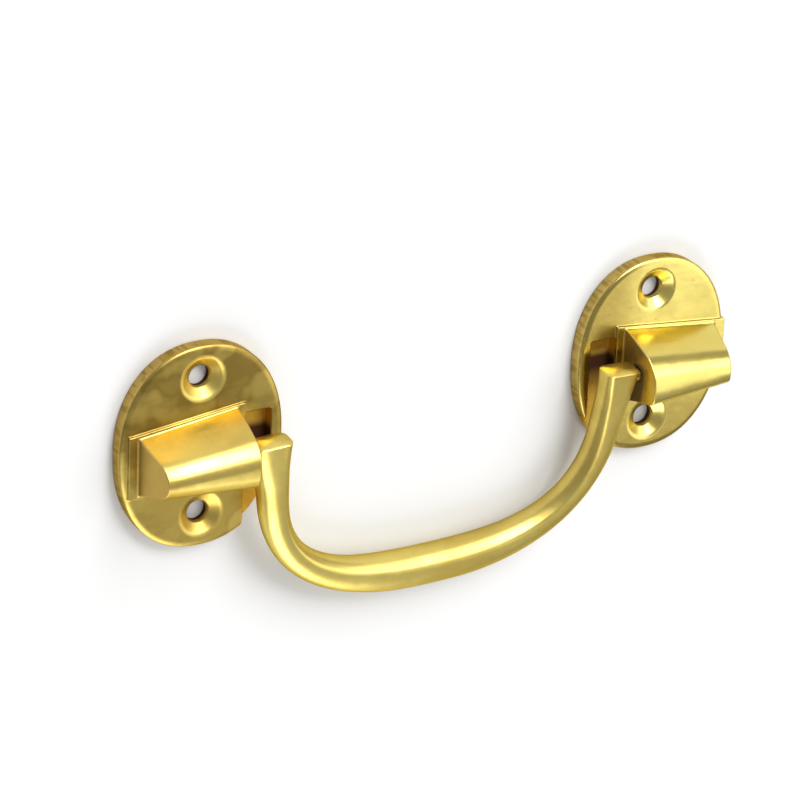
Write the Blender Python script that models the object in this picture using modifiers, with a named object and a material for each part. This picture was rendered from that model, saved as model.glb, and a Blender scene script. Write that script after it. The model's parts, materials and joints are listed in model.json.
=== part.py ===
"""Sash lift handle: two cast brackets with countersunk back plates, and a bow handle that swings between them.

The handle lies on its back: +X runs along the swing axis, +Y is up on the sash, and +Z points out of the
sash. The origin is midway between the two back plates, on the plane that they are screwed to.
"""

import math

import bmesh
import bpy
import numpy as np
from mathutils import Matrix, Vector

MM = 0.001

# Back plates
BRACKET_SPACING = 93.8 * MM
PLATE_HALF_WIDTH = 15.9 * MM
PLATE_HALF_HEIGHT = 19.1 * MM
PLATE_THICKNESS = 3.1 * MM
PLATE_SQUARENESS = 2.2
PLATE_RIM_ROUND = 0.4 * MM
PLATE_SIDES = 64

# Countersunk screw holes, one above and one below the block
SCREW_SPACING = 26.0 * MM
SCREW_HOLE_RADIUS = 2.0 * MM
COUNTERSINK_RADIUS = 4.0 * MM
COUNTERSINK_DEPTH = 1.45 * MM
HOLE_SIDES = 32

# Moulded blocks: each tapers from its inner end, next to the handle, to its outer end
BLOCK_INNER_X = -7.6 * MM
BLOCK_OUTER_X = 12.6 * MM
BLOCK_END_LEAN = 1.45 * MM
BLOCK_HEIGHT = (10.8 * MM, 9.4 * MM)
BLOCK_UPPER_FOOT = (6.6 * MM, 4.4 * MM)
BLOCK_UPPER_SHOULDER = (2.8 * MM, 1.4 * MM)
BLOCK_LOWER_SHOULDER = (-4.4 * MM, -3.3 * MM)
BLOCK_LOWER_FOOT = (-7.9 * MM, -6.9 * MM)
BLOCK_COVE_POWER = 1.3
BLOCK_NOSE_SQUARENESS = 3.0
BLOCK_STATIONS = 4
BLOCK_FOOT_OVERLAP = 0.6 * MM

# Low pad that each block stands on
PAD_HEIGHT = 0.5 * MM
PAD_INNER_X = -8.35 * MM
PAD_OUTER_X = 14.4 * MM
PAD_MARGIN = 0.4 * MM

# Slots that the handle's arms lie in, open at the bottom of each plate
SLOT_OUTER_X = -8.3 * MM
SLOT_INNER_X = -13.5 * MM
SLOT_TOP = 4.9 * MM
SLOT_FLOOR = 0.9 * MM

# Pivots
PIVOT_DROP = 0.7 * MM
PIVOT_HEIGHT = 8.3 * MM
PIN_RADIUS = 1.25 * MM
PIN_CLEARANCE = 0.1 * MM
PIN_IN_BLOCK = 8.0 * MM
PIN_IN_LUG = 3.6 * MM
PIN_SIDES = 24

# Bow handle: half of its centre line as (distance from the middle, drop below the pivot, radius)
BOW_HALF = (
    (35.4 * MM, 1.0 * MM, 2.1 * MM),
    (34.9 * MM, 6.5 * MM, 2.7 * MM),
    (34.7 * MM, 12.0 * MM, 2.85 * MM),
    (33.2 * MM, 17.0 * MM, 2.7 * MM),
    (30.1 * MM, 22.6 * MM, 2.6 * MM),
    (25.0 * MM, 27.0 * MM, 2.75 * MM),
    (18.0 * MM, 30.2 * MM, 3.0 * MM),
    (9.5 * MM, 31.9 * MM, 3.45 * MM),
    (0.0, 32.3 * MM, 3.6 * MM),
)
BOW_POINTS = 57
BOW_BEVEL_RESOLUTION = 3
BOW_REST_GAP = 0.03 * MM
LUG_OUTER_GAP = 0.5 * MM
LUG_WIDTH = 5.9 * MM
LUG_DEPTH = 4.5 * MM
LUG_ABOVE_PIVOT = 2.1 * MM
LUG_BELOW_PIVOT = 4.2 * MM
LUG_ROUND = 0.5 * MM

BRASS = (0.78, 0.57, 0.17, 1.0)
PIN_STEEL = (0.62, 0.52, 0.30, 1.0)


def clear_scene():
    """Remove everything that the open file holds."""
    for item in list(bpy.data.objects):
        bpy.data.objects.remove(item, do_unlink=True)


def new_collection(name):
    """Make a collection under the scene."""
    collection = bpy.data.collections.new(name)
    bpy.context.scene.collection.children.link(collection)
    return collection


def metal(name, colour, roughness):
    """Plain metal with one colour and one roughness."""
    material = bpy.data.materials.new(name)
    material.use_nodes = True
    shader = material.node_tree.nodes["Principled BSDF"]
    shader.inputs["Base Color"].default_value = colour
    shader.inputs["Metallic"].default_value = 1.0
    shader.inputs["Roughness"].default_value = roughness
    return material


def object_from_bmesh(name, shape, collection):
    """Turn a bmesh into a named object with outward faces."""
    bmesh.ops.recalc_face_normals(shape, faces=shape.faces)
    mesh = bpy.data.meshes.new(name)
    shape.to_mesh(mesh)
    shape.free()
    item = bpy.data.objects.new(name, mesh)
    collection.objects.link(item)
    return item


def mesh_from_curve(item, collection):
    """Replace a curve object with a welded mesh object of the same name and place."""
    graph = bpy.context.evaluated_depsgraph_get()
    mesh = bpy.data.meshes.new_from_object(item.evaluated_get(graph))
    shape = bmesh.new()
    shape.from_mesh(mesh)
    bmesh.ops.remove_doubles(shape, verts=shape.verts, dist=0.01 * MM)
    name = item.name
    place = item.matrix_world.copy()
    bpy.data.objects.remove(item, do_unlink=True)
    bpy.data.meshes.remove(mesh)
    welded = object_from_bmesh(name, shape, collection)
    welded.matrix_world = place
    return welded


def cylinder(name, collection, radius, x_from, x_to, y, z):
    """Cylinder along X between two places."""
    shape = bmesh.new()
    bmesh.ops.create_cone(shape, cap_ends=True, segments=PIN_SIDES, radius1=radius, radius2=radius,
                          depth=abs(x_to - x_from), matrix=Matrix.Rotation(math.pi / 2, 4, "Y"))
    bmesh.ops.translate(shape, verts=shape.verts, vec=Vector(((x_from + x_to) / 2, y, z)))
    return object_from_bmesh(name, shape, collection)


def box(name, collection, low, high):
    """Box between two corners."""
    shape = bmesh.new()
    bmesh.ops.create_cube(shape, size=1.0)
    size = [b - a for a, b in zip(low, high)]
    bmesh.ops.scale(shape, verts=shape.verts, vec=Vector(size))
    middle = [(a + b) / 2 for a, b in zip(low, high)]
    bmesh.ops.translate(shape, verts=shape.verts, vec=Vector(middle))
    return object_from_bmesh(name, shape, collection)


def combine(item, other, operation):
    """Join or cut a piece with a helper body, which stays hidden."""
    other.hide_render = True
    other.display_type = "WIRE"
    step = item.modifiers.new(f"{operation.lower()}_{other.name}", "BOOLEAN")
    step.operation = operation
    step.solver = "EXACT"
    step.object = other


def superellipse(half_width, half_height, squareness, count):
    """Points round a superellipse: |x / half_width| ** n + |y / half_height| ** n = 1."""
    turn = np.linspace(0.0, 2.0 * math.pi, count, endpoint=False)
    c = np.cos(turn)
    s = np.sin(turn)
    x = half_width * np.sign(c) * np.abs(c) ** (2.0 / squareness)
    y = half_height * np.sign(s) * np.abs(s) ** (2.0 / squareness)
    return x, y


def plate(name, collection, centre_x):
    """Near-oval back plate: a flat outline with thickness, and a small round along its front rim."""
    x, y = superellipse(PLATE_HALF_WIDTH, PLATE_HALF_HEIGHT, PLATE_SQUARENESS, PLATE_SIDES)
    curve = bpy.data.curves.new(name, "CURVE")
    curve.dimensions = "2D"
    curve.fill_mode = "BOTH"
    curve.extrude = PLATE_THICKNESS / 2
    spline = curve.splines.new("POLY")
    spline.points.add(len(x) - 1)
    for point, px, py in zip(spline.points, x, y):
        point.co = (px, py, 0.0, 1.0)
    spline.use_cyclic_u = True
    item = bpy.data.objects.new(name, curve)
    item.location = (centre_x, 0.0, PLATE_THICKNESS / 2)
    collection.objects.link(item)
    bpy.context.view_layer.update()
    item = mesh_from_curve(item, collection)
    round_front_rim(item)
    return item


def round_front_rim(item):
    """Bevel the edges where a plate's front meets its side wall."""
    shape = bmesh.new()
    shape.from_mesh(item.data)
    top = max(vertex.co.z for vertex in shape.verts)
    rim = [edge for edge in shape.edges
           if all(abs(vertex.co.z - top) < 0.01 * MM for vertex in edge.verts)
           and any(abs(face.normal.z) < 0.5 for face in edge.link_faces)]
    bmesh.ops.bevel(shape, geom=rim, offset=PLATE_RIM_ROUND, segments=2, profile=0.5, affect="EDGES")
    shape.to_mesh(item.data)
    shape.free()


def block_flank(height, foot, shoulder, middle):
    """One flank of a block's section, from its foot over its shoulder to the nose's middle, as (y, z).

    The flank is a cove, y = shoulder + (foot - shoulder) * (1 - u) ** power for u from 0 at the plate to 1,
    and the nose is a quarter of a superellipse from the shoulder to the top.
    """
    nose_height = 0.16 * height
    u = np.linspace(0.0, 1.0, 6)
    cove_y = shoulder + (foot - shoulder) * (1.0 - u) ** BLOCK_COVE_POWER
    cove_z = u * (height - nose_height)
    turn = np.linspace(0.0, math.pi / 2, 6)[1:]
    power = 2.0 / BLOCK_NOSE_SQUARENESS
    nose_y = middle + (shoulder - middle) * np.cos(turn) ** power
    nose_z = height - nose_height + nose_height * np.sin(turn) ** power
    y = np.concatenate(([foot], cove_y, nose_y))
    z = np.concatenate(([-BLOCK_FOOT_OVERLAP], cove_z, nose_z))
    return y, z


def block_outline(t):
    """Section of a block at t, from 0 at its inner end to 1 at its outer end, and its height there."""
    sizes = (BLOCK_HEIGHT, BLOCK_UPPER_FOOT, BLOCK_UPPER_SHOULDER, BLOCK_LOWER_SHOULDER, BLOCK_LOWER_FOOT)
    height, upper_foot, upper_shoulder, lower_shoulder, lower_foot = (a + (b - a) * t for a, b in sizes)
    middle = (upper_shoulder + lower_shoulder) / 2
    lower_y, lower_z = block_flank(height, lower_foot, lower_shoulder, middle)
    upper_y, upper_z = block_flank(height, upper_foot, upper_shoulder, middle)
    y = np.concatenate((lower_y, upper_y[-2::-1]))
    z = np.concatenate((lower_z, upper_z[-2::-1]))
    return y, z, height


def block(name, collection, centre_x, side):
    """Moulded block: a loft from a large inner section to a smaller outer one, with leaning ends."""
    shape = bmesh.new()
    rings = []
    for t in np.linspace(0.0, 1.0, BLOCK_STATIONS):
        y, z, height = block_outline(t)
        lean = BLOCK_END_LEAN * z / height
        x = BLOCK_INNER_X + lean + (BLOCK_OUTER_X - BLOCK_INNER_X - 2.0 * lean) * t
        rings.append([shape.verts.new((centre_x + side * px, py, pz + PLATE_THICKNESS))
                      for px, py, pz in zip(x, y, z)])
    count = len(rings[0])
    for near, far in zip(rings, rings[1:]):
        for i in range(count):
            j = (i + 1) % count
            shape.faces.new((near[i], near[j], far[j], far[i]))
    shape.faces.new(rings[0])
    shape.faces.new(rings[-1])
    return object_from_bmesh(name, shape, collection)


def pad(name, collection, centre_x, side):
    """Low pad under a block: a thin slab that follows the taper of the block's feet."""
    slab = box(name, collection, (-0.5, -0.5, PLATE_THICKNESS - PAD_HEIGHT),
               (0.5, 0.5, PLATE_THICKNESS + PAD_HEIGHT))
    span = BLOCK_OUTER_X - BLOCK_INNER_X
    for vertex in slab.data.vertices:
        x = PAD_OUTER_X if vertex.co.x > 0 else PAD_INNER_X
        feet = BLOCK_UPPER_FOOT if vertex.co.y > 0 else BLOCK_LOWER_FOOT
        margin = math.copysign(PAD_MARGIN, vertex.co.y)
        foot = feet[0] + (feet[1] - feet[0]) * (x - BLOCK_INNER_X) / span
        vertex.co.x = centre_x + side * x
        vertex.co.y = foot + margin
    if side < 0:
        slab.data.flip_normals()
    return slab


def countersunk_hole(name, collection, centre_x, y):
    """Cutter for one screw hole: a clearance hole and a cone, as one turned profile."""
    over = 0.5 * MM
    slope = (COUNTERSINK_RADIUS - SCREW_HOLE_RADIUS) / COUNTERSINK_DEPTH
    profile = (
        (0.0, PLATE_THICKNESS + over),
        (COUNTERSINK_RADIUS + over * slope, PLATE_THICKNESS + over),
        (SCREW_HOLE_RADIUS, PLATE_THICKNESS - COUNTERSINK_DEPTH),
        (SCREW_HOLE_RADIUS, -over),
        (0.0, -over),
    )
    mesh = bpy.data.meshes.new(name)
    edges = [(i, i + 1) for i in range(len(profile) - 1)]
    mesh.from_pydata([(r, 0.0, z) for r, z in profile], edges, [])
    item = bpy.data.objects.new(name, mesh)
    item.location = (centre_x, y, 0.0)
    collection.objects.link(item)
    turn = item.modifiers.new("turn", "SCREW")
    turn.steps = HOLE_SIDES
    turn.render_steps = HOLE_SIDES
    turn.use_merge_vertices = True
    turn.merge_threshold = 0.01 * MM
    return item


def bracket(side_name, side, parts, cutters, brass):
    """One bracket casting: plate and block in one piece, with screw holes, arm slot and pin bore."""
    centre_x = side * BRACKET_SPACING / 2
    item = plate(f"{side_name}_bracket", parts, centre_x)
    combine(item, pad(f"{side_name}_pad", cutters, centre_x, side), "UNION")
    combine(item, block(f"{side_name}_block", cutters, centre_x, side), "UNION")
    for hole_name, y in (("upper", SCREW_SPACING / 2), ("lower", -SCREW_SPACING / 2)):
        hole = countersunk_hole(f"{side_name}_{hole_name}_hole", cutters, centre_x, y)
        combine(item, hole, "DIFFERENCE")
    slot_ends = sorted((centre_x + side * SLOT_OUTER_X, centre_x + side * SLOT_INNER_X))
    slot = box(f"{side_name}_slot", cutters, (slot_ends[0], -PLATE_HALF_HEIGHT - MM, SLOT_FLOOR),
               (slot_ends[1], SLOT_TOP, PLATE_THICKNESS + MM))
    combine(item, slot, "DIFFERENCE")
    bore = cylinder(f"{side_name}_bore", cutters, PIN_RADIUS + PIN_CLEARANCE,
                    centre_x + side * (SLOT_OUTER_X - MM), centre_x + side * (BLOCK_INNER_X + PIN_IN_BLOCK),
                    -PIVOT_DROP, PIVOT_HEIGHT)
    combine(item, bore, "DIFFERENCE")
    item.data.materials.append(brass)
    return item


def lug_outer_x():
    """Distance from the middle to a lug's outer face."""
    return BRACKET_SPACING / 2 + BLOCK_INNER_X - LUG_OUTER_GAP


def pivot_pin(side_name, side, parts, steel):
    """Plain pin, pressed into the block and reaching into the handle's lug."""
    inner_x = lug_outer_x() - PIN_IN_LUG
    outer_x = BRACKET_SPACING / 2 + BLOCK_INNER_X + PIN_IN_BLOCK - 0.3 * MM
    item = cylinder(f"{side_name}_pivot_pin", parts, PIN_RADIUS, side * inner_x, side * outer_x,
                    -PIVOT_DROP, PIVOT_HEIGHT)
    item.data.materials.append(steel)
    return item


def bow_line():
    """Smooth line through the bow's points, end to end: a Catmull-Rom curve of (x, drop, radius)."""
    half = np.array(BOW_HALF)
    other = half[-2::-1] * (-1.0, 1.0, 1.0)
    knots = np.vstack((half, other))
    knots = np.vstack((2 * knots[0] - knots[1], knots, 2 * knots[-1] - knots[-2]))
    place = np.linspace(0.0, len(knots) - 3, BOW_POINTS)
    index = np.minimum(place.astype(int), len(knots) - 4)
    t = (place - index)[:, None]
    a, b, c, d = (knots[index + k] for k in range(4))
    return 0.5 * (2 * b + (c - a) * t + (2 * a - 5 * b + 4 * c - d) * t ** 2 + (3 * b - a - 3 * c + d) * t ** 3)


def rest_tilt():
    """Angle at which the grip just meets the plane behind the plates."""
    _, drop, radius = BOW_HALF[-1]
    return math.asin((PIVOT_HEIGHT - radius - BOW_REST_GAP) / drop)


def bow_handle(parts, cutters, brass):
    """Bow: a tapered rod between two flat-topped lugs, each bored for its pin, hung on the swing axis."""
    curve = bpy.data.curves.new("bow_handle", "CURVE")
    curve.dimensions = "3D"
    curve.bevel_depth = 1.0 * MM
    curve.bevel_resolution = BOW_BEVEL_RESOLUTION
    curve.use_fill_caps = True
    spline = curve.splines.new("POLY")
    spline.points.add(BOW_POINTS - 1)
    for point, (x, drop, radius) in zip(spline.points, bow_line()):
        point.co = (x, -drop, 0.0, 1.0)
        point.radius = radius / curve.bevel_depth
    item = bpy.data.objects.new("bow_handle", curve)
    parts.objects.link(item)
    bpy.context.view_layer.update()
    item = mesh_from_curve(item, parts)

    pivot = bpy.data.objects.new("swing_axis", None)
    pivot.location = (0.0, -PIVOT_DROP, PIVOT_HEIGHT)
    pivot.rotation_euler = (rest_tilt(), 0.0, 0.0)
    parts.objects.link(pivot)
    item.parent = pivot

    for side_name, side in (("left", -1), ("right", 1)):
        ends = sorted((side * lug_outer_x(), side * (lug_outer_x() - LUG_WIDTH)))
        lug = box(f"{side_name}_lug", cutters, (ends[0], -LUG_BELOW_PIVOT, -LUG_DEPTH / 2),
                  (ends[1], LUG_ABOVE_PIVOT, LUG_DEPTH / 2))
        rounding = lug.modifiers.new("rounding", "BEVEL")
        rounding.width = LUG_ROUND
        rounding.segments = 2
        lug.parent = pivot
        combine(item, lug, "UNION")
    for side_name, side in (("left", -1), ("right", 1)):
        bore = cylinder(f"{side_name}_lug_bore", cutters, PIN_RADIUS + PIN_CLEARANCE,
                        side * (lug_outer_x() - PIN_IN_LUG - 0.3 * MM), side * (lug_outer_x() + MM), 0.0, 0.0)
        bore.parent = pivot
        combine(item, bore, "DIFFERENCE")
    item.data.materials.append(brass)
    return item


def shade(item):
    """Smooth shading with the real edges kept sharp."""
    item.data.shade_smooth()
    item.data.set_sharp_from_angle(angle=math.radians(35.0))


def main():
    clear_scene()
    parts = new_collection("sash_lift_handle")
    cutters = new_collection("cutters")
    brass = metal("polished_brass", BRASS, 0.22)
    steel = metal("pin_metal", PIN_STEEL, 0.35)
    pieces = [bow_handle(parts, cutters, brass)]
    for side_name, side in (("left", -1), ("right", 1)):
        pieces.append(bracket(side_name, side, parts, cutters, brass))
        pieces.append(pivot_pin(side_name, side, parts, steel))
    for item in pieces:
        shade(item)


main()
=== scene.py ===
"""Sash lift handle in polished cast brass: fine castings, pins, finishes, floor, lights and camera.

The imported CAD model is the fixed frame. Both bracket castings, the bow and the pins are made again here as
fine surfaces worked out with numpy. Everything is in metres: +X runs along the swing axis, +Y is up on the
sash, and +Z points out of it, so the handle lies on its back on the floor.
"""

import json
import math

import bpy
import numpy as np
from bpy.props import FloatProperty, FloatVectorProperty, IntProperty, PointerProperty
from mathutils import Matrix, Vector


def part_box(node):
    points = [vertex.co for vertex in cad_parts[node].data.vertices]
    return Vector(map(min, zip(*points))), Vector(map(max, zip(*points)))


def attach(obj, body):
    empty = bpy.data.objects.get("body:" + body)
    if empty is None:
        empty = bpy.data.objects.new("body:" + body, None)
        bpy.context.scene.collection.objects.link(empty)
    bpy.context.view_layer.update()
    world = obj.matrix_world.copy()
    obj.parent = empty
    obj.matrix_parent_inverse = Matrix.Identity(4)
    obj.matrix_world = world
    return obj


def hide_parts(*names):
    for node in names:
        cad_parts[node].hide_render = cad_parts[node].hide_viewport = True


bl_info = {
    "name": "Sash Lift Handle",
    "version": (1, 0, 0),
    "blender": (4, 5, 0),
    "location": "View3D > Sidebar > Lift Handle",
    "description": "Builds a cast brass sash lift handle round its packed frame",
    "category": "Add Mesh",
}

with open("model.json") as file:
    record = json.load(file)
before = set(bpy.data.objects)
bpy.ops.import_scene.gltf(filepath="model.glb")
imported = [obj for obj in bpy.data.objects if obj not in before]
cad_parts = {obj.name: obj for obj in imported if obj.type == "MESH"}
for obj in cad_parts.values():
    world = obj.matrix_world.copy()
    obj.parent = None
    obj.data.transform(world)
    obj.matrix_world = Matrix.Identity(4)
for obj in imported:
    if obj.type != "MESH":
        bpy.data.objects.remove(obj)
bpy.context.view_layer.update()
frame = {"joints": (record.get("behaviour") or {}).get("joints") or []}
PIVOT = Vector(frame["joints"][0]["pos_m"])
MM = 0.001


# Settings that a user would change


def length(name, description, default):
    """A distance, given in metres."""
    return FloatProperty(name=name, description=description, default=default, subtype="DISTANCE",
                         unit="LENGTH")


def length_pair(name, description, first, second):
    """Two distances in metres: at a block's inner and outer ends, or on the left and right castings."""
    return FloatVectorProperty(name=name, description=description, default=(first, second), size=2,
                               unit="LENGTH")


def fraction(name, description, default):
    """A number from 0 to 1."""
    return FloatProperty(name=name, description=description, default=default, min=0.0, max=1.0,
                         subtype="FACTOR")


def fraction_pair(name, description, left, right):
    """Two numbers from 0 to 1, for the left and right castings."""
    return FloatVectorProperty(name=name, description=description, default=(left, right), size=2, min=0.0,
                               max=1.0)


def colour(name, description, default):
    """A linear colour."""
    return FloatVectorProperty(name=name, description=description, default=default, size=3, min=0.0, max=1.0,
                               subtype="COLOR")


class BracketSizes(bpy.types.PropertyGroup):
    """Shape of a bracket casting, in its own frame: x grows outwards from the plate's middle."""

    grid_step: length("Grid step", "Spacing of the grid that the casting is worked out on", 0.2 * MM)
    thickness: length("Plate thickness", "Thickness of the back plate", 3.1 * MM)
    squareness: FloatProperty(name="Squareness", description="Power of the plate's superellipse", default=2.2)
    rim_round: length("Rim round", "Height of the soft round along the plate's front rim", 0.5 * MM)
    rim_spread: FloatProperty(name="Rim spread", description="Width of that round over its height",
                              default=2.4)
    screw_spacing: length("Screw spacing", "Distance between the two screw holes", 26.0 * MM)
    hole_radius: length("Hole radius", "Radius of a screw's clearance hole", 2.0 * MM)
    countersink_radius: length("Countersink radius", "Radius of a countersink at the plate's face", 4.0 * MM)
    countersink_depth: length("Countersink depth", "Depth of a countersink", 1.45 * MM)
    block_inner: length("Block inner end", "Where the block's foot starts, next to the bow", -6.7 * MM)
    block_outer: length_pair("Block outer ends", "Where each casting's block stops", 12.6 * MM, 13.6 * MM)
    inner_lean: length("Inner lean", "How far the block's inner end leans in at the nose", 0.5 * MM)
    outer_lean: length_pair("Outer leans", "How far each casting's outer end leans in", 1.4 * MM, 1.9 * MM)
    block_height: length_pair("Block height", "Height of the nose above the plate", 10.8 * MM, 9.4 * MM)
    upper_foot: length_pair("Upper foot", "Upper edge of the block at the plate", 6.6 * MM, 4.4 * MM)
    upper_shoulder: length_pair("Upper shoulder", "Upper edge of the nose", 2.3 * MM, 1.1 * MM)
    lower_shoulder: length_pair("Lower shoulder", "Lower edge of the nose", -5.2 * MM, -4.3 * MM)
    lower_foot: length_pair("Lower foot", "Lower edge of the block at the plate", -7.9 * MM, -6.9 * MM)
    hollow_power: FloatProperty(name="Hollow power", description="How hollow the flanks are at the outer end",
                                default=1.3)
    bulge_power: FloatProperty(name="Bulge power", description="How full the upper flank is at the inner end",
                               default=1.35)
    upper_round: length("Upper round", "Radius of the nose's upper shoulder", 2.8 * MM)
    lower_round: length_pair("Lower rounds", "Radius of each nose's lower shoulder", 2.3 * MM, 1.1 * MM)
    crown: length("Crown", "How far the nose falls off towards its shoulders", 0.35 * MM)
    nose_tilt: FloatVectorProperty(name="Nose tilts", default=(0.1, -0.03), size=2,
                                   description="Slope of each casting's nose towards its lower edge")
    edge_round: length("Edge round", "Radius of the crisp edges", 0.25 * MM)
    fillet: length("Fillet", "Radius of the inside corners", 0.3 * MM)
    pad_height: length("Pad height", "Height of the low pad under the block", 0.5 * MM)
    pad_inner: length("Pad inner end", "Where the pad starts", -8.3 * MM)
    pad_outer: length_pair("Pad outer ends", "Where each casting's pad stops", 14.4 * MM, 15.9 * MM)
    pad_margin: length("Pad margin", "How far the pad stands out from the block's feet", 0.4 * MM)
    slot_outer: length("Slot outer wall", "Wall of the arm slot next to the block", -8.3 * MM)
    slot_inner: length("Slot inner wall", "Wall of the arm slot next to the rim", -13.5 * MM)
    slot_top: length("Slot top", "Upper end of the arm slot", 4.9 * MM)
    slot_floor: length("Slot floor", "Height of the slot's floor above the sash", 0.9 * MM)
    bore_depth: length("Bore depth", "How far a pin's bore reaches into its block and its lug", 8.0 * MM)


class BowSizes(bpy.types.PropertyGroup):
    """Fineness of the bow, its edges and parting ridge, and the fit of the pins."""

    rings: IntProperty(name="Rings", description="Sections along the bow", default=420)
    around: IntProperty(name="Points round", description="Points round each section", default=96)
    smoothing: IntProperty(name="Smoothing", default=90,
                           description="Times that each section is averaged with its neighbours")
    lug_round: length("Lug round", "Radius of the edge round each lug's flat top", 0.35 * MM)
    crease: fraction("Crease", "Rise of the soft ridge along the bow, over the section's radius", 0.05)
    crease_angle: FloatProperty(name="Crease angle", default=math.radians(118.0), subtype="ANGLE",
                                description="Where the ridge runs, from the outer side round to the front")
    crease_width: FloatProperty(name="Crease width", description="How far round the ridge spreads",
                                default=math.radians(9.0), subtype="ANGLE")
    bore_clearance: length("Bore clearance", "Gap between a pin and its bore", 0.1 * MM)
    pin_chamfer: length("Pin chamfer", "Chamfer on a pin's ends", 0.25 * MM)


class BrassLooks(bpy.types.PropertyGroup):
    """Colours, gloss and wear of the brass."""

    bright: colour("Bright brass", "Freshly polished metal", (0.75, 0.62, 0.175))
    warm: colour("Warm brass", "Handled and slightly toned metal", (0.72, 0.52, 0.125))
    # Colour of real stain patches, pits and wear, also used to paint shade on the plate faces.
    stain_and_shade_brass: colour("Stained brass", "Stains and tarnish", (0.30, 0.205, 0.045))
    toned: colour("Toned brass", "Rough deep gold inside the arm slots", (0.75, 0.45, 0.06))
    # Painted shade: a near-black colour painted where shade falls, in the screw holes, in the slot behind the
    # lug and beside the arm.
    painted_shade: colour("Grime", "Old dirt in the holes and behind the lugs", (0.05, 0.017, 0.008))
    sawn: colour("Sawn brass", "Duller metal of the plates' side walls", (0.50, 0.35, 0.12))
    polish: fraction("Polish", "Roughness of polished metal", 0.21)
    dullness: fraction("Dullness", "Roughness of sawn metal", 0.42)
    casting_tone: fraction_pair("Casting tones", "How warm each bracket casting's brass is", 0.65, 0.1)
    casting_wear: fraction_pair("Casting wear", "How worn and stained each bracket casting is", 0.9, 0.15)
    bow_tone: fraction("Bow tone", "How warm the bow's brass is", 0.3)
    bow_wear: fraction("Bow wear", "How worn the bow is", 1.0)
    pin_tone: fraction("Pin tone", "How warm the pins' brass is", 0.5)
    pin_wear: fraction("Pin wear", "How worn the pins are", 0.3)


class StageLooks(bpy.types.PropertyGroup):
    """Floor, lights and camera."""

    floor_colour: colour("Floor", "Pale floor", (0.68, 0.68, 0.68))
    camera_place: FloatVectorProperty(name="Camera place", description="Where the camera stands",
                                      default=(-0.3184, 0.2759, 0.5178), size=3, unit="LENGTH")
    camera_aim: FloatVectorProperty(name="Camera aim", description="Point that the camera looks at",
                                    default=(-0.0053, -0.0004, 0.0), size=3, unit="LENGTH")
    camera_right: FloatVectorProperty(name="Camera right", description="Direction to the camera's right",
                                      default=(0.8642, 0.0393, 0.5016), size=3)
    camera_lens: FloatProperty(name="Lens", description="Focal length in millimetres on a 36 mm sensor",
                               default=166.5)
    ambient: FloatProperty(name="Ambient", description="Brightness of the room", default=0.35)


class HandleSettings(bpy.types.PropertyGroup):
    """All of the handle's settings."""

    bracket: PointerProperty(type=BracketSizes)
    bow: PointerProperty(type=BowSizes)
    brass: PointerProperty(type=BrassLooks)
    stage: PointerProperty(type=StageLooks)


# Geometry helpers


def rounded_max(a, b, radius):
    """Distance to what two bodies share.

    Where both surfaces are within the radius it is the distance to an arc: the smaller of the larger distance
    and minus the radius, plus the length of the two parts beyond it.
    """
    beyond = np.hypot(np.maximum(a + radius, 0.0), np.maximum(b + radius, 0.0))
    return np.minimum(np.maximum(a, b), -radius) + beyond


def rounded_min(a, b, radius):
    """Distance to two bodies joined with a fillet: the rounded maximum, turned inside out."""
    return -rounded_max(-a, -b, radius)


def blend_step(value, start, end):
    """0 at start and 1 at end, with a smooth rise between: t * t * (3 - 2 * t)."""
    t = np.clip((value - start) / (end - start), 0.0, 1.0)
    return t * t * (3.0 - 2.0 * t)


def surface_net(field, low, high, step):
    """Closed surface on which a field is zero, as points and four-sided faces.

    The field is worked out on a grid. Each cube that the surface passes through gets one point, the mean of
    the places where the cube's edges cross it, and each crossing edge gives one face, between the four cubes
    round it.
    """
    axes = [np.arange(a, b + step, step) for a, b in zip(low, high)]
    values = field(*np.meshgrid(*axes, indexing="ij", sparse=True))
    inside = values < 0.0
    shape = values.shape
    cube_count = values.size
    sums = np.zeros((3, cube_count))
    hits = np.zeros(cube_count)
    faces = []
    for axis in range(3):
        near = [slice(None)] * 3
        far = [slice(None)] * 3
        near[axis] = slice(None, -1)
        far[axis] = slice(1, None)
        cell = np.argwhere(inside[tuple(near)] != inside[tuple(far)])
        next_cell = cell.copy()
        next_cell[:, axis] += 1
        start = values[tuple(cell.T)]
        end = values[tuple(next_cell.T)]
        crossing = cell.astype(float)
        crossing[:, axis] += start / (start - end)
        second = (axis + 1) % 3
        third = (axis + 2) % 3
        corners = []
        for back_second, back_third in ((1, 1), (0, 1), (0, 0), (1, 0)):
            cube = cell.copy()
            cube[:, second] -= back_second
            cube[:, third] -= back_third
            index = np.ravel_multi_index(tuple(cube.T), shape)
            for k in range(3):
                sums[k] += np.bincount(index, weights=crossing[:, k], minlength=cube_count)
            hits += np.bincount(index, minlength=cube_count)
            corners.append(index)
        quads = np.stack(corners, axis=1)
        leaving = start < 0.0
        faces.append(np.where(leaving[:, None], quads, quads[:, ::-1]))
    used = hits > 0
    number = np.cumsum(used) - 1
    points = (sums[:, used] / hits[used]).T * step + np.array([axis[0] for axis in axes])
    return points, number[np.concatenate(faces)]


def slope_of(field, points, reach):
    """Slope of a field at points, from its values a short reach to either side."""
    slope = np.empty_like(points)
    for k in range(3):
        ahead = points.copy()
        behind = points.copy()
        ahead[:, k] += reach
        behind[:, k] -= reach
        slope[:, k] = (field(*ahead.T) - field(*behind.T)) / (2.0 * reach)
    return slope


def settle(field, points, step):
    """Move points onto the surface along the field's slope, by value / |slope| a time, and give normals."""
    reach = 0.05 * step
    for _ in range(4):
        slope = slope_of(field, points, reach)
        steepness = np.linalg.norm(slope, axis=1, keepdims=True)
        move = field(*points.T)[:, None] / np.maximum(steepness, 0.2)
        points = points - np.clip(move, -0.5 * step, 0.5 * step) * slope / np.maximum(steepness, 1e-6)
    slope = slope_of(field, points, reach)
    return points, slope / np.linalg.norm(slope, axis=1, keepdims=True)


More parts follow.
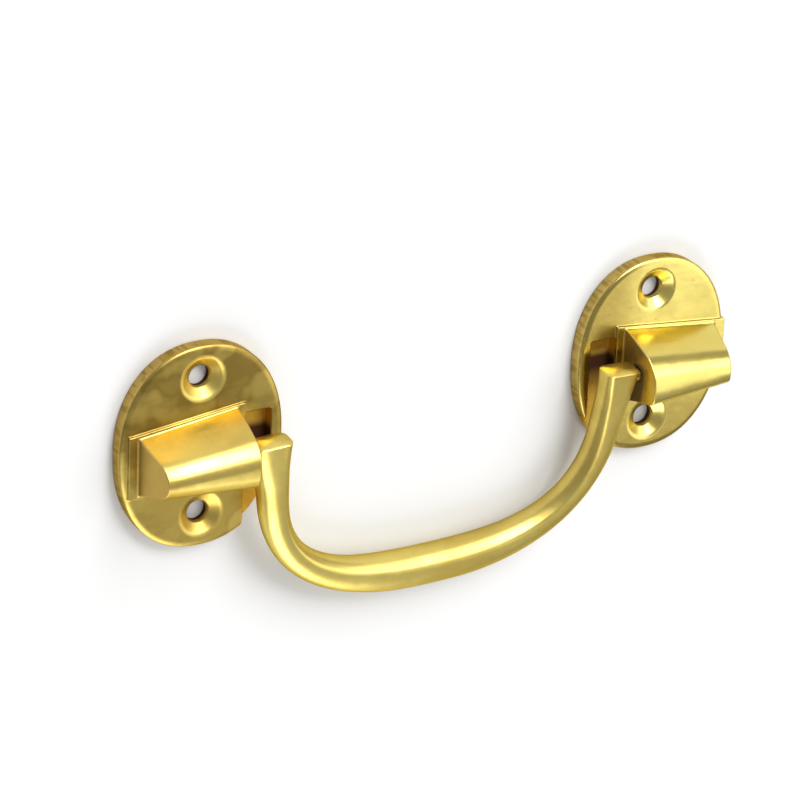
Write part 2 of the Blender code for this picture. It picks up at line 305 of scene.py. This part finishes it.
def add_mesh(name, points, quads, triangles=None, normals=None, marks=None):
    """Put arrays of points and faces into a new mesh object, with normals and per-point marks if given."""
    if triangles is None:
        triangles = np.empty((0, 3), int)
    mesh = bpy.data.meshes.new(name)
    mesh.vertices.add(len(points))
    mesh.vertices.foreach_set("co", points.astype(np.float32).ravel())
    corners = np.concatenate((quads.ravel(), triangles.ravel())).astype(np.int32)
    mesh.loops.add(len(corners))
    mesh.loops.foreach_set("vertex_index", corners)
    starts = np.concatenate((np.arange(len(quads)) * 4, quads.size + np.arange(len(triangles)) * 3))
    mesh.polygons.add(len(starts))
    mesh.polygons.foreach_set("loop_start", starts.astype(np.int32))
    mesh.update(calc_edges=True)
    mesh.validate()
    mesh.shade_smooth()
    for mark_name, values in (marks or {}).items():
        mark = mesh.attributes.new(mark_name, "FLOAT", "POINT")
        mark.data.foreach_set("value", values.astype(np.float32))
    if normals is not None:
        mesh.normals_split_custom_set_from_vertices(normals)
    item = bpy.data.objects.new(name, mesh)
    bpy.context.scene.collection.objects.link(item)
    return item


def ring_faces(rings, around):
    """Faces of a tube of rings, each closed on itself, with their outer side out if the rings run clockwise
    when seen from the start."""
    row = np.arange(rings - 1)[:, None] * around
    near = np.arange(around)[None, :]
    far = (near + 1) % around
    return np.stack((row + near, row + far, row + far + around, row + near + around), axis=-1).reshape(-1, 4)


def closed_tube(name, rings):
    """Mesh object from an array of rings (ring, point, xyz), with a middle point closing each end."""
    count, around, _ = rings.shape
    middles = np.stack((rings[0].mean(axis=0), rings[-1].mean(axis=0)))
    points = np.concatenate((rings.reshape(-1, 3), middles))
    near = np.arange(around)
    far = (near + 1) % around
    first_cap = np.stack((np.full(around, count * around), far, near), axis=1)
    last = (count - 1) * around
    last_cap = np.stack((np.full(around, count * around + 1), last + near, last + far), axis=1)
    caps = np.concatenate((first_cap, last_cap))
    return add_mesh(name, points, ring_faces(count, around), caps)


# Brackets


def between(pair, t):
    """Value at t between a pair of values."""
    return pair[0] + (pair[1] - pair[0]) * t


def bracket_surfaces(x, y, z, s, hand, half_width, half_height, pivot):
    """Distance to each surface that bounds a bracket casting, negative on its inner side.

    The outline is (|x / a| ** p + |y / b| ** p) ** (1 / p) - 1 over its own slope. The block runs from its
    inner to its outer end as t goes from 0 to 1. Its flanks draw in from foot to shoulder as
    (1 - rise) ** hollow, and the upper one as 1 - rise ** bulge at the inner end. A fixed cosine brings each
    flank's measure, which is taken along y, near to a true distance.
    """
    upper_cosine = 0.88
    lower_cosine = 0.93
    least_slope = 20.0
    top = s.thickness
    across = np.abs(x) / half_width
    along = np.abs(y) / half_height
    power = s.squareness
    size = np.maximum((across ** power + along ** power) ** (1.0 / power), 0.2)
    steepness = np.hypot(across ** (power - 1.0) / half_width, along ** (power - 1.0) / half_height)
    outline = (size - 1.0) / np.maximum(steepness * size ** (1.0 - power), least_slope)

    t = (x - s.block_inner) / (s.block_outer[hand] - s.block_inner)
    t = np.clip(t, -0.05, 1.05)
    height = between(s.block_height, t)
    rise = np.clip((z - top) / height, 0.0, 1.0)
    hollow = (1.0 - rise) ** s.hollow_power
    bulge = 1.0 - rise ** s.bulge_power
    upper_shoulder = between(s.upper_shoulder, t)
    lower_shoulder = between(s.lower_shoulder, t)
    upper = upper_shoulder + (between(s.upper_foot, t) - upper_shoulder) * (bulge + (hollow - bulge) * t)
    lower = lower_shoulder + (between(s.lower_foot, t) - lower_shoulder) * hollow
    lean = (z - top) / height
    nose_middle = (upper_shoulder + lower_shoulder) / 2
    nose_half = (upper_shoulder - lower_shoulder) / 2
    from_middle = np.clip((y - nose_middle) / nose_half, -2.0, 2.0)
    fall = s.crown * from_middle ** 2 - s.nose_tilt[hand] * nose_half * from_middle

    hole_y = s.screw_spacing / 2
    from_hole = np.hypot(x, np.abs(y) - hole_y)
    slope = (s.countersink_radius - s.hole_radius) / s.countersink_depth
    cone_radius = s.countersink_radius - (top - z) * slope

    slot_middle = (s.slot_inner + s.slot_outer) / 2
    slot_half = (s.slot_outer - s.slot_inner) / 2
    return {
        "outline": outline,
        "face": z - top,
        "back": -z,
        "upper_flank": (y - upper) * upper_cosine,
        "lower_flank": (lower - y) * lower_cosine,
        "nose": z - top - height + fall,
        "inner_end": s.block_inner + s.inner_lean * lean - x,
        "outer_end": x - s.block_outer[hand] + s.outer_lean[hand] * lean,
        "pad_sides": np.maximum(y - between(s.upper_foot, t) - s.pad_margin,
                                between(s.lower_foot, t) - s.pad_margin - y),
        "pad_ends": np.maximum(s.pad_inner - x, x - s.pad_outer[hand]),
        "pad_top": z - top - s.pad_height,
        "hole": from_hole - s.hole_radius,
        "countersink": np.maximum((from_hole - cone_radius) / math.hypot(1.0, slope),
                                  from_hole - s.countersink_radius - s.edge_round),
        "slot_sides": np.abs(x - slot_middle) - slot_half,
        "slot_top": y - s.slot_top,
        "slot_floor": s.slot_floor - z,
        "bore": np.hypot(y - pivot[1], z - pivot[2]) - pivot[3],
        "bore_end": np.abs(x - s.block_inner) - s.bore_depth,
    }


def bracket_field(x, y, z, s, hand, half_width, half_height, pivot):
    """Distance to a casting: plate, pad and block joined with fillets, less the holes, slot and bore.

    The pad and the block reach down to the middle of the plate. Lesser rounds are a share of the edge round
    or of the fillet.
    """
    middle = 0.5 * s.thickness
    d = bracket_surfaces(x, y, z, s, hand, half_width, half_height, pivot)
    plate = rounded_max(d["outline"] / s.rim_spread, d["face"], s.rim_round)
    plate = rounded_max(plate, d["back"], s.edge_round)
    pad = rounded_max(d["pad_sides"], d["pad_ends"], s.edge_round)
    pad = rounded_max(pad, d["pad_top"], 0.8 * s.edge_round)
    pad = np.maximum(pad, middle - z)
    block = rounded_max(d["upper_flank"], d["nose"], s.upper_round)
    block = rounded_max(block, d["lower_flank"], s.lower_round[hand])
    ends = np.maximum(d["inner_end"], d["outer_end"])
    block = np.maximum(rounded_max(block, ends, s.edge_round), middle - z)
    body = rounded_min(rounded_min(plate, pad, 0.7 * s.fillet), block, s.fillet)
    screw = rounded_min(d["hole"], d["countersink"], s.edge_round)
    slot = rounded_max(rounded_max(d["slot_sides"], d["slot_top"], s.fillet), d["slot_floor"], s.fillet)
    bore = np.maximum(d["bore"], d["bore_end"])
    body = rounded_max(body, -screw, s.edge_round)
    body = rounded_max(body, -slot, s.edge_round)
    return rounded_max(body, -bore, 0.5 * s.edge_round)


def near_zero(distance, reach):
    """1 on a surface, falling smoothly to 0 a reach away from it."""
    return 1.0 - blend_step(np.abs(distance), 0.3 * reach, reach)


def bracket_marks(points, s, hand, half_width, half_height, pivot):
    """Where each finish lies on a bracket: sawn wall, linished ends, cut holes and slot, and painted shade on
    the plate face, in the holes, in the slot behind the lug and beside the arm.

    A mark is 1 on its surface and fades out over its reach. The other pairs of distances are the heights or
    places between which it fades.
    """
    d = bracket_surfaces(*points.T, s, hand, half_width, half_height, pivot)
    reach = 0.35 * MM
    arm_slope = 0.14
    y, z = points[:, 1:].T
    wall_reach = 0.5 * MM
    wall = near_zero(d["outline"], wall_reach) * (1.0 - blend_step(z, 0.6 * s.thickness, s.thickness))
    above_pad = blend_step(z, s.thickness, s.thickness + s.pad_height)
    ends = np.maximum(near_zero(d["inner_end"], reach), near_zero(d["outer_end"], reach)) * above_pad
    in_slot = np.maximum(np.maximum(d["slot_sides"], d["slot_top"]), z - s.thickness + 0.2 * MM) < 0.1 * MM
    # Painted shade behind the lug, on the slot's floor and walls.
    behind_lug = (1.0 - blend_step(y, 0.6 * MM, 2.6 * MM)) * blend_step(y, -6.0 * MM, -1.0 * MM)
    block = blend_step(z, s.thickness + 0.3 * MM, s.thickness + 1.0 * MM)
    bore = near_zero(d["hole"], reach) * (1.0 - blend_step(z, 0.8 * MM, 1.5 * MM))
    cones = near_zero(d["countersink"], reach) * (1.0 - bore)
    # Painted shade beside the arm, on the block's inner end.
    from_arm = np.hypot(z - pivot[2] - arm_slope * (y - pivot[1]), np.maximum(y - pivot[1], 0.0))
    beside_arm = near_zero(d["inner_end"], reach) * (1.0 - blend_step(from_arm, 1.9 * MM, 2.6 * MM))
    # Painted shade: near-black deep in the screw holes, in the slot behind the lug and beside the arm.
    painted_shade = np.maximum(bore, np.maximum(in_slot * behind_lug, 0.8 * beside_arm))
    # Painted shade: a darker plate face where it reflects less light, towards the top of the left casting and
    # all over the right casting except its outer side above the lowest part.
    low_or_inner = 1.0 - blend_step(points[:, 0], -9.0 * MM, -1.0 * MM) * blend_step(y, -13.0 * MM, -6.0 * MM)
    painted_face_shade = (1.1 * blend_step(y, -6.0 * MM, 5.0 * MM), low_or_inner)[hand]
    return {
        "sawn": wall * (1.0 - bore),
        "ends": ends,
        "slot": in_slot.astype(float),
        "block": block,
        "cones": cones,
        "painted_shade": painted_shade,
        "painted_face_shade": painted_face_shade * (1.0 - block) * (1.0 - cones),
    }


class LIFT_OT_brackets(bpy.types.Operator):
    """Build the two bracket castings, mirror images of each other apart from the sizes given in pairs"""

    bl_idname = "lift_handle.brackets"
    bl_label = "Build Brackets"

    def execute(self, context):
        settings = context.scene.lift_handle
        s = settings.bracket
        looks = settings.brass
        low, high = (np.array(corner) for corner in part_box("right_bracket"))
        half_width = (high[0] - low[0]) / 2
        half_height = high[1]
        centre_x = (high[0] + low[0]) / 2
        pin_low, pin_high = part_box("right_pivot_pin")
        bore_radius = (pin_high[2] - pin_low[2]) / 2 + settings.bow.bore_clearance
        margin = 2.0 * s.grid_step
        grid_low = (-half_width - margin, low[1] - margin, -margin)
        grid_high = (half_width + margin, high[1] + margin, high[2] + margin)
        for hand, (name, side) in enumerate((("left", -1.0), ("right", 1.0))):
            shape = (s, hand, half_width, half_height, (0.0, PIVOT.y, PIVOT.z, bore_radius))

            def field(x, y, z):
                return bracket_field(x, y, z, *shape)

            points, faces = surface_net(field, grid_low, grid_high, s.grid_step)
            points, normals = settle(field, points, s.grid_step)
            marks = bracket_marks(points, *shape)
            flip = np.array((side, 1.0, 1.0))
            placed = points * flip + np.array((side * centre_x, 0.0, 0.0))
            turned = faces if side > 0 else faces[:, ::-1]
            item = add_mesh(f"{name}_bracket_casting", placed, turned, normals=normals * flip, marks=marks)
            brass = brass_material(f"{name}_casting_brass", looks, looks.casting_tone[hand],
                                   looks.casting_wear[hand], True)
            item.data.materials.append(brass)
            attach(item, "brackets")
            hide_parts(f"{name}_bracket")
        return {"FINISHED"}


# Bow

# Half of the bow's middle line, from a lug's flat top to the middle of the grip, as distance from the middle,
# drop below the pivot, half width, half depth and squareness of the section, lengths in millimetres
BOW_HALF = (
    (36.15, -2.1, 3.6, 2.3, 4.2),
    (36.1, 0.0, 3.5, 2.3, 3.8),
    (35.7, 3.4, 3.15, 2.4, 3.0),
    (35.1, 7.0, 2.9, 2.55, 2.6),
    (34.5, 12.0, 2.8, 2.65, 2.3),
    (33.1, 17.2, 2.7, 2.65, 2.2),
    (30.0, 22.6, 2.7, 2.65, 2.2),
    (25.0, 27.1, 2.9, 2.8, 2.2),
    (18.0, 30.35, 3.25, 3.1, 2.2),
    (9.5, 32.0, 3.6, 3.5, 2.2),
    (0.0, 32.35, 3.65, 3.6, 2.2),
)


def smooth_line(knots, count):
    """Catmull-Rom curve through knots, with evenly spread points and a knot added straight on at each end."""
    knots = np.vstack((2 * knots[0] - knots[1], knots, 2 * knots[-1] - knots[-2]))

    def at(place):
        index = np.minimum(place.astype(int), len(knots) - 4)
        t = (place - index)[:, None]
        a, b, c, d = (knots[index + k] for k in range(4))
        square = 2 * a - 5 * b + 4 * c - d
        cube = 3 * b - a - 3 * c + d
        return 0.5 * (2 * b + (c - a) * t + square * t ** 2 + cube * t ** 3)

    place = np.linspace(0.0, len(knots) - 3, 20 * len(knots))
    dense = at(place)
    travelled = np.concatenate(([0.0], np.cumsum(np.hypot(*np.diff(dense[:, :2], axis=0).T))))
    return at(np.interp(np.linspace(0.0, travelled[-1], count), travelled, place))


def bow_rings(settings, tilt):
    """Sections of the bow as rings of points.

    Each section is a superellipse, half width * cos ** (2 / n) across the line and
    half depth * sin ** (2 / n) out of the bow's plane. It swells by a narrow bell curve at the parting ridge.
    At both ends the sections draw in over a quarter circle, which rounds the edge of the lug's flat top.
    """
    half = np.array(BOW_HALF)
    half[:, :4] *= MM
    other = half[-2::-1] * (-1.0, 1.0, 1.0, 1.0, 1.0)
    line = smooth_line(np.vstack((half, other)), settings.rings)
    for _ in range(settings.smoothing):
        line[1:-1] = (line[:-2] + 2.0 * line[1:-1] + line[2:]) / 4.0
    place = line[:, :2] * (1.0, -1.0)
    direction = np.gradient(place, axis=0)
    direction /= np.linalg.norm(direction, axis=1, keepdims=True)
    width, depth, power = line[:, 2:].T

    turn = np.linspace(0.0, math.pi / 2, 7)[:-1]
    inset = settings.lug_round * (1.0 - np.sin(turn))
    shift = settings.lug_round * (1.0 - np.cos(turn))
    travelled = np.concatenate(([0.0], np.cumsum(np.hypot(*np.diff(place, axis=0).T))))
    ends_in = np.interp(travelled, shift, inset, right=0.0)
    ends_in += ends_in[::-1]
    angle = np.linspace(0.0, 2.0 * math.pi, settings.around, endpoint=False)
    c = np.cos(angle)[None, :]
    s = np.sin(angle)[None, :]
    exponent = (2.0 / power)[:, None]
    across = (width - ends_in)[:, None] * np.sign(c) * np.abs(c) ** exponent
    out = (depth - ends_in)[:, None] * np.sign(s) * np.abs(s) ** exponent
    turned = (angle - settings.crease_angle) / settings.crease_width
    swell = 1.0 + settings.crease * np.exp(-0.5 * turned ** 2)
    across = across * swell
    out = out * swell
    x = place[:, :1] - direction[:, 1:] * across
    y = place[:, 1:] + direction[:, :1] * across
    tilted_y = y * math.cos(tilt) - out * math.sin(tilt)
    tilted_z = y * math.sin(tilt) + out * math.cos(tilt)
    return np.stack((x, tilted_y, tilted_z), axis=-1) + np.array((0.0, PIVOT.y, PIVOT.z))


def resting_tilt(lowest):
    """Angle at which the bow's grip just stands on the floor: sin(tilt) * drop = pivot height - radius."""
    drop, radius = BOW_HALF[-1][1] * MM, BOW_HALF[-1][3] * MM
    return math.asin((PIVOT.z - radius - lowest) / drop)


def rod_rings(x, radii):
    """Rings of a turned rod on the swing axis, from its stations along x and its radius at each."""
    around = 48
    turn = np.linspace(0.0, 2.0 * math.pi, around, endpoint=False)
    y = PIVOT.y + radii[:, None] * np.cos(turn)
    z = PIVOT.z + radii[:, None] * np.sin(turn)
    return np.stack(np.broadcast_arrays(x[:, None], y, z), axis=-1)


def cut_bore(item, side, start, depth, radius):
    """Cut a pin's bore into a lug, open on the lug's outer side."""
    x = np.sort(side * np.array((start, start + depth)))
    cutter = closed_tube("bore_cutter", rod_rings(x, np.full(2, radius)))
    modifier = item.modifiers.new("bore", "BOOLEAN")
    modifier.operation = "DIFFERENCE"
    modifier.solver = "EXACT"
    modifier.object = cutter
    before = item.data
    item.data = bpy.data.meshes.new_from_object(item.evaluated_get(bpy.context.evaluated_depsgraph_get()))
    item.modifiers.clear()
    bpy.data.meshes.remove(before)
    bpy.data.meshes.remove(cutter.data)


class LIFT_OT_bow(bpy.types.Operator):
    """Build the bow handle, a section carried along its middle line from lug to lug, and bore its lugs"""

    bl_idname = "lift_handle.bow"
    bl_label = "Build Bow"

    def execute(self, context):
        settings = context.scene.lift_handle
        floor_gap = 0.03 * MM
        sharp_angle = math.radians(50.0)
        rings = bow_rings(settings.bow, resting_tilt(floor_gap))
        item = closed_tube("bow_casting", rings)
        for name, side in (("left_pivot_pin", -1.0), ("right_pivot_pin", 1.0)):
            low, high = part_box(name)
            radius = (high[2] - low[2]) / 2 + settings.bow.bore_clearance
            nearest = min(abs(low[0]), abs(high[0])) - settings.bow.bore_clearance
            cut_bore(item, side, nearest, settings.bracket.bore_depth, radius)
        item.data.set_sharp_from_angle(angle=sharp_angle)
        looks = settings.brass
        item.data.materials.append(brass_material("bow_brass", looks, looks.bow_tone, looks.bow_wear, False))
        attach(item, "bow")
        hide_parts("bow_handle")
        return {"FINISHED"}


# Pins


class LIFT_OT_pins(bpy.types.Operator):
    """Build the two pivot pins, plain rods with chamfered ends"""

    bl_idname = "lift_handle.pins"
    bl_label = "Build Pins"

    def execute(self, context):
        settings = context.scene.lift_handle
        looks = settings.brass
        material = brass_material("pin_brass", looks, looks.pin_tone, looks.pin_wear, False)
        chamfer = settings.bow.pin_chamfer
        for name in ("left_pivot_pin", "right_pivot_pin"):
            low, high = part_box(name)
            radius = (high[2] - low[2]) / 2
            x = np.array((low[0], low[0] + chamfer, high[0] - chamfer, high[0]))
            radii = np.array((radius - chamfer, radius, radius, radius - chamfer))
            item = closed_tube(f"{name}_turned", rod_rings(x, radii))
            item.data.materials.append(material)
            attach(item, "brackets")
            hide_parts(name)
        return {"FINISHED"}


# Materials


class Signal:
    """A node's output that adds Math nodes when it is used in an expression."""

    def __init__(self, graph, socket):
        self.graph = graph
        self.socket = socket

    def _math(self, operation, *values):
        return self.graph.add("ShaderNodeMath", {"operation": operation}, dict(enumerate(values)))[0]

    def __add__(self, other):
        return self._math("ADD", self, other)

    def __radd__(self, other):
        return self._math("ADD", other, self)

    def __sub__(self, other):
        return self._math("SUBTRACT", self, other)

    def __rsub__(self, other):
        return self._math("SUBTRACT", other, self)

    def __mul__(self, other):
        return self._math("MULTIPLY", self, other)

    def __rmul__(self, other):
        return self._math("MULTIPLY", other, self)

    def step(self, low, high):
        """0 below low, 1 above high, with a smooth rise between."""
        settings = {"interpolation_type": "SMOOTHSTEP"}
        inputs = {"Value": self, "From Min": low, "From Max": high}
        return self.graph.add("ShaderNodeMapRange", settings, inputs)[0]


class Graph:
    """Nodes of one material."""

    def __init__(self, name, metallic):
        self.material = bpy.data.materials.new(name)
        self.material.use_nodes = True
        self.tree = self.material.node_tree
        self.shader = self.tree.nodes["Principled BSDF"]
        self.shader.inputs["Metallic"].default_value = metallic
        self.shader.inputs["Specular Tint"].default_value = (0.55, 0.42, 0.22, 1.0)

    def add(self, kind, settings=None, inputs=None):
        """Add a node, set its settings and then its sockets, and give its enabled outputs as signals."""
        node = self.tree.nodes.new(kind)
        for key, value in (settings or {}).items():
            setattr(node, key, value)
        for key, value in (inputs or {}).items():
            self.feed(node.inputs[key], value)
        return [Signal(self, socket) for socket in node.outputs if socket.enabled]

    def feed(self, socket, value):
        """Link a signal to a socket, or set the socket's own value."""
        if isinstance(value, Signal):
            self.tree.links.new(value.socket, socket)
        else:
            socket.default_value = value

    def mix(self, factor, first, second):
        """Colour between two colours."""
        node = self.tree.nodes.new("ShaderNodeMix")
        node.data_type = "RGBA"
        colours = [socket for socket in node.inputs if socket.enabled and socket.type == "RGBA"]
        self.feed(node.inputs[0], factor)
        for socket, value in zip(colours, (first, second)):
            self.feed(socket, value if isinstance(value, Signal) else (*value, 1.0))
        return Signal(self, next(socket for socket in node.outputs if socket.enabled))

    def place(self, scale=(1.0, 1.0, 1.0)):
        """Object coordinates, scaled."""
        coordinates = self.add("ShaderNodeTexCoord")[3]
        inputs = {"Vector": coordinates, "Scale": scale}
        return self.add("ShaderNodeMapping", {"vector_type": "POINT"}, inputs)[0]

    def noise(self, scale, detail=3.0, stretch=(1.0, 1.0, 1.0), roughness=0.55):
        """Noise from 0 to 1, with scale in cells for each metre."""
        inputs = {"Vector": self.place(stretch), "Scale": scale, "Detail": detail, "Roughness": roughness}
        return self.add("ShaderNodeTexNoise", None, inputs)[0]

    def mark(self, name):
        """A per-point mark of the mesh."""
        return self.add("ShaderNodeAttribute", {"attribute_name": name})[2]

    def bump(self, height, distance, normal=None):
        """Normal from a height between 0 and 1 that stands for a distance in metres."""
        inputs = {"Height": height, "Distance": distance, "Strength": 1.0}
        if normal is not None:
            inputs["Normal"] = normal
        return self.add("ShaderNodeBump", None, inputs)[0]

    def finish(self, base_colour, roughness, normal):
        """Connect the surface's varying inputs and give the material."""
        self.feed(self.shader.inputs["Base Color"], base_colour)
        self.feed(self.shader.inputs["Roughness"], roughness)
        self.feed(self.shader.inputs["Normal"], normal)
        return self.material


def brass_material(name, looks, tone, wear, marked):
    """Cast brass: soft waves and fine linishing lines, toned patches and pits, with wear adding roughness.

    A marked piece, which is a bracket casting, also has stain patches, the duller sawn wall, brushed block
    ends, painted shade on its plate faces and near-black painted shade in its holes, behind the lug and
    beside the arm.
    """
    g = Graph(name, 1.0)
    toned = g.noise(90.0, 4.0).step(0.38, 0.68)
    pits = g.noise(1800.0, 2.0).step(0.70, 0.78)
    waves = g.noise(220.0, 2.0)
    lines = g.noise(900.0, 3.0, stretch=(0.06, 1.0, 1.0))
    tint = g.mix(toned * 0.35 + (tone - 0.1), looks.bright, looks.warm)
    tint = g.mix(pits * 0.5 + toned * wear * 0.3, tint, looks.stain_and_shade_brass)
    roughness = toned * 0.05 + lines * 0.06 + (looks.polish - 0.03 + wear * 0.12)
    scuffs = g.noise(2600.0, 2.0, stretch=(0.3, 1.0, 1.0)).step(0.40, 0.65)
    roughness = roughness + scuffs * wear * 0.03
    normal = g.bump(waves, 0.06 * MM)
    normal = g.bump(lines, 0.003 * MM, normal)
    normal = g.bump(1.0 - pits, 0.01 * MM, normal)
    if marked:
        sawn = g.mark("sawn")
        ends = g.mark("ends")
        block = g.mark("block")
        slot = g.mark("slot")
        painted_shade = g.mark("painted_shade")
        cones = g.mark("cones")
        patches = g.noise(85.0, 2.5, roughness=0.5)
        smudges = g.noise(260.0, 4.0, stretch=(0.5, 1.0, 1.0)).step(0.45, 0.65)
        edges = patches.step(0.46, 0.50) * (1.0 - patches.step(0.50, 0.52))
        stains_and_shade = (patches.step(0.43, 0.50) * 0.35 + edges * 0.12 + smudges * 0.25) * wear
        # Painted shade: the face-shade mark darkens the plate faces, mixed in with the real stain patches.
        stains_and_shade = stains_and_shade + g.mark("painted_face_shade") * 0.5
        tint = g.mix(stains_and_shade * (1.0 - block) * (1.0 - sawn) * (1.0 - cones), tint, looks.stain_and_shade_brass)
        tint = g.mix(sawn * 0.8 + ends * 0.6, tint, looks.sawn)
        wall_spots = g.noise(420.0, 4.0).step(0.50, 0.70)
        tint = g.mix(sawn * wall_spots * 0.5, tint, looks.stain_and_shade_brass)
        tint = g.mix(slot * 0.8, tint, looks.toned)
        # Painted shade: near-black in the holes, the slot behind the lug and beside the arm, also made duller
        # and less metallic.
        tint = g.mix(painted_shade, tint, looks.painted_shade)
        g.feed(g.shader.inputs["Metallic"], 1.0 - painted_shade * 0.8)
        saw_lines = g.noise(1400.0, 3.0, stretch=(1.0, 1.0, 0.12))
        end_lines = g.noise(1500.0, 2.0, stretch=(1.0, 0.9, 0.05))
        roughness = roughness + sawn * (looks.dullness - looks.polish) + ends * 0.12 + slot * 0.2
        roughness = roughness + cones * 0.05 + painted_shade * 0.5 - block * (1.0 - ends) * 0.02
        tint = g.mix(sawn * saw_lines.step(0.48, 0.62) * 0.7, tint, looks.stain_and_shade_brass)
        normal = g.bump(saw_lines * sawn, 0.07 * MM, normal)
        normal = g.bump(end_lines * ends, 0.015 * MM, normal)
    return g.finish(tint, roughness, normal)


def paper_material(looks):
    """Smooth pale floor."""
    g = Graph("pale_floor", 0.0)
    g.shader.inputs["Base Color"].default_value = (*looks.floor_colour, 1.0)
    g.shader.inputs["Roughness"].default_value = 0.9
    g.shader.inputs["Specular IOR Level"].default_value = 0.0
    return g.material


# Stage


# Soft boxes: name, direction towards it, distance, width, height, radiance, and whether the metal reflects it
SOFT_BOXES = (
    ("back", (0.22, 0.75, 0.62), 1.5, 0.55, 1.15, 11.0, True),
    ("upper right", (0.62, 0.48, 0.62), 1.5, 0.6, 0.8, 2.6, True),
    ("right", (0.76, -0.04, 0.65), 1.5, 1.3, 1.15, 1.35, True),
    ("front", (-0.12, -0.865, 0.49), 1.5, 1.2, 1.35, 3.4, True),
    ("fill", (0.0, 0.1, 1.0), 1.6, 1.8, 1.8, 0.35, False),
)


def add_soft_box(name, direction, distance, width, height, radiance, reflected):
    """Area light that faces the handle. Its power is radiance * pi * area, so a mirror shows the radiance."""
    data = bpy.data.lights.new(name, "AREA")
    data.shape = "RECTANGLE"
    data.size = width
    data.size_y = height
    data.energy = radiance * math.pi * width * height
    item = bpy.data.objects.new(f"{name}_soft_box", data)
    towards = Vector(direction).normalized()
    item.location = towards * distance
    item.rotation_euler = towards.to_track_quat("Z", "Y").to_euler()
    item.visible_glossy = reflected
    bpy.context.scene.collection.objects.link(item)


class LIFT_OT_stage(bpy.types.Operator):
    """Build the floor, the soft studio light and the camera"""

    bl_idname = "lift_handle.stage"
    bl_label = "Build Stage"

    def execute(self, context):
        scene = context.scene
        looks = scene.lift_handle.stage
        reach = 3.0
        floor_drop = 0.02 * MM
        corners = np.array(((-reach, -reach), (reach, -reach), (reach, reach), (-reach, reach)))
        points = np.column_stack((corners, np.full(4, -floor_drop)))
        floor = add_mesh("floor", points, np.array(((0, 1, 2, 3),)))
        floor.data.materials.append(paper_material(looks))

        for soft_box in SOFT_BOXES:
            add_soft_box(*soft_box)
        world = bpy.data.worlds.new("room")
        world.use_nodes = True
        background = world.node_tree.nodes["Background"]
        background.inputs["Color"].default_value = (1.0, 1.0, 1.0, 1.0)
        background.inputs["Strength"].default_value = looks.ambient
        scene.world = world
        scene.view_settings.view_transform = "Standard"

        data = bpy.data.cameras.new("camera")
        data.sensor_width = 36.0
        data.lens = looks.camera_lens
        camera = bpy.data.objects.new("camera", data)
        back = (Vector(looks.camera_place) - Vector(looks.camera_aim)).normalized()
        right = Vector(looks.camera_right)
        right = (right - back * right.dot(back)).normalized()
        turn = Matrix((right, back.cross(right), back)).transposed().to_4x4()
        camera.matrix_world = Matrix.Translation(looks.camera_place) @ turn
        scene.collection.objects.link(camera)
        scene.camera = camera
        return {"FINISHED"}


class LIFT_PT_panel(bpy.types.Panel):
    """Buttons for each group of pieces"""

    bl_idname = "LIFT_PT_panel"
    bl_label = "Lift Handle"
    bl_space_type = "VIEW_3D"
    bl_region_type = "UI"
    bl_category = "Lift Handle"

    def draw(self, context):
        for operator in OPERATORS:
            self.layout.operator(operator.bl_idname)


OPERATORS = (LIFT_OT_stage, LIFT_OT_brackets, LIFT_OT_bow, LIFT_OT_pins)
CLASSES = (BracketSizes, BowSizes, BrassLooks, StageLooks, HandleSettings, *OPERATORS, LIFT_PT_panel)


def register():
    """Register the classes and the scene's settings."""
    for item in CLASSES:
        bpy.utils.register_class(item)
    bpy.types.Scene.lift_handle = PointerProperty(type=HandleSettings)


def unregister():
    """Remove the scene's settings and the classes."""
    del bpy.types.Scene.lift_handle
    for item in reversed(CLASSES):
        bpy.utils.unregister_class(item)


def main():
    """Build everything in order."""
    register()
    bpy.ops.lift_handle.stage()
    bpy.ops.lift_handle.brackets()
    bpy.ops.lift_handle.bow()
    bpy.ops.lift_handle.pins()


if __name__ == "__main__":
    main()
